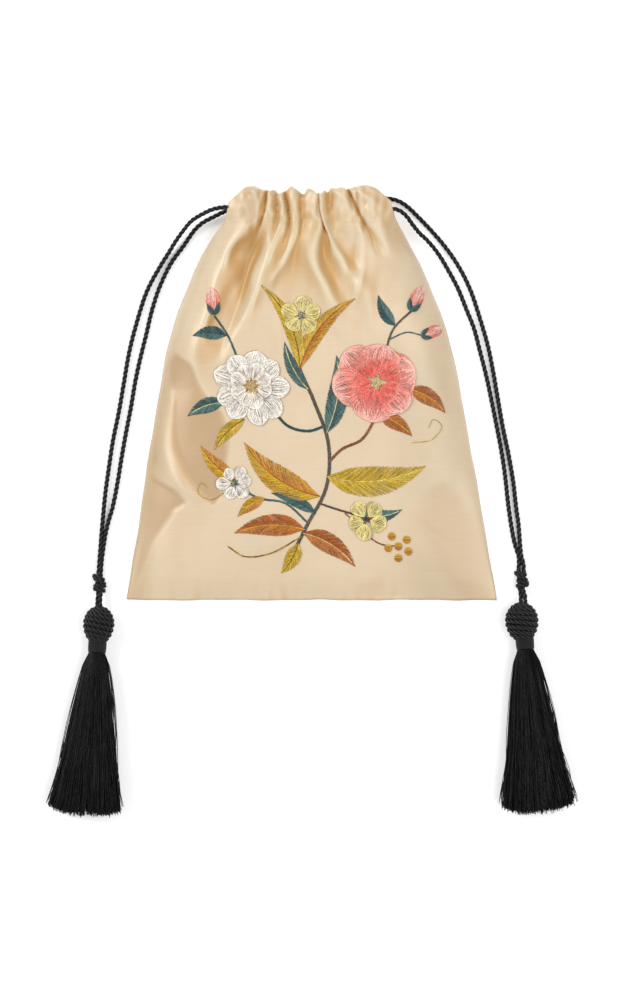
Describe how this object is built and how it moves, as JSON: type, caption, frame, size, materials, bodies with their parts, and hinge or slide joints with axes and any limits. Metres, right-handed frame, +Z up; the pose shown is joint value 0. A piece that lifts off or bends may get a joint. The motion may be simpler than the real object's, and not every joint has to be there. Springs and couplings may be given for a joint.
{
  "type": "drawstring pouch",
  "caption": "Flat silk drawstring pouch with a gathered casing at the mouth, lying on its back, with twisted drawcords that are knotted in pairs above long fringed tassels.",
  "frame": {"origin": "on the table, under the middle of the bag's silk, measured without the drawcords and tassels", "axes": "+Z up from the table to the front of the bag, +Y from the bottom seam to the mouth, +X to the right seen from above"},
  "size_m": [0.3136, 0.3764, 0.0274],
  "materials": {
    "silk": "champagne silk satin with a soft sheen and silk embroidery",
    "cord": "black twisted rayon cord, satin",
    "fringe": "black rayon thread, silky"
  },
  "bodies": {
    "root": {"front_panel": "silk", "back_panel": "silk", "left_cord_front": "cord", "left_cord_back": "cord", "left_cord_in_casing": "cord", "right_cord_front": "cord", "right_cord_back": "cord", "right_cord_in_casing": "cord", "left_knot": "cord", "right_knot": "cord", "left_tassel_ball": "cord", "right_tassel_ball": "cord", "left_tassel_collar": "fringe", "right_tassel_collar": "fringe", "left_tassel_skirt": "fringe", "right_tassel_skirt": "fringe"}
  },
  "joints": []
}
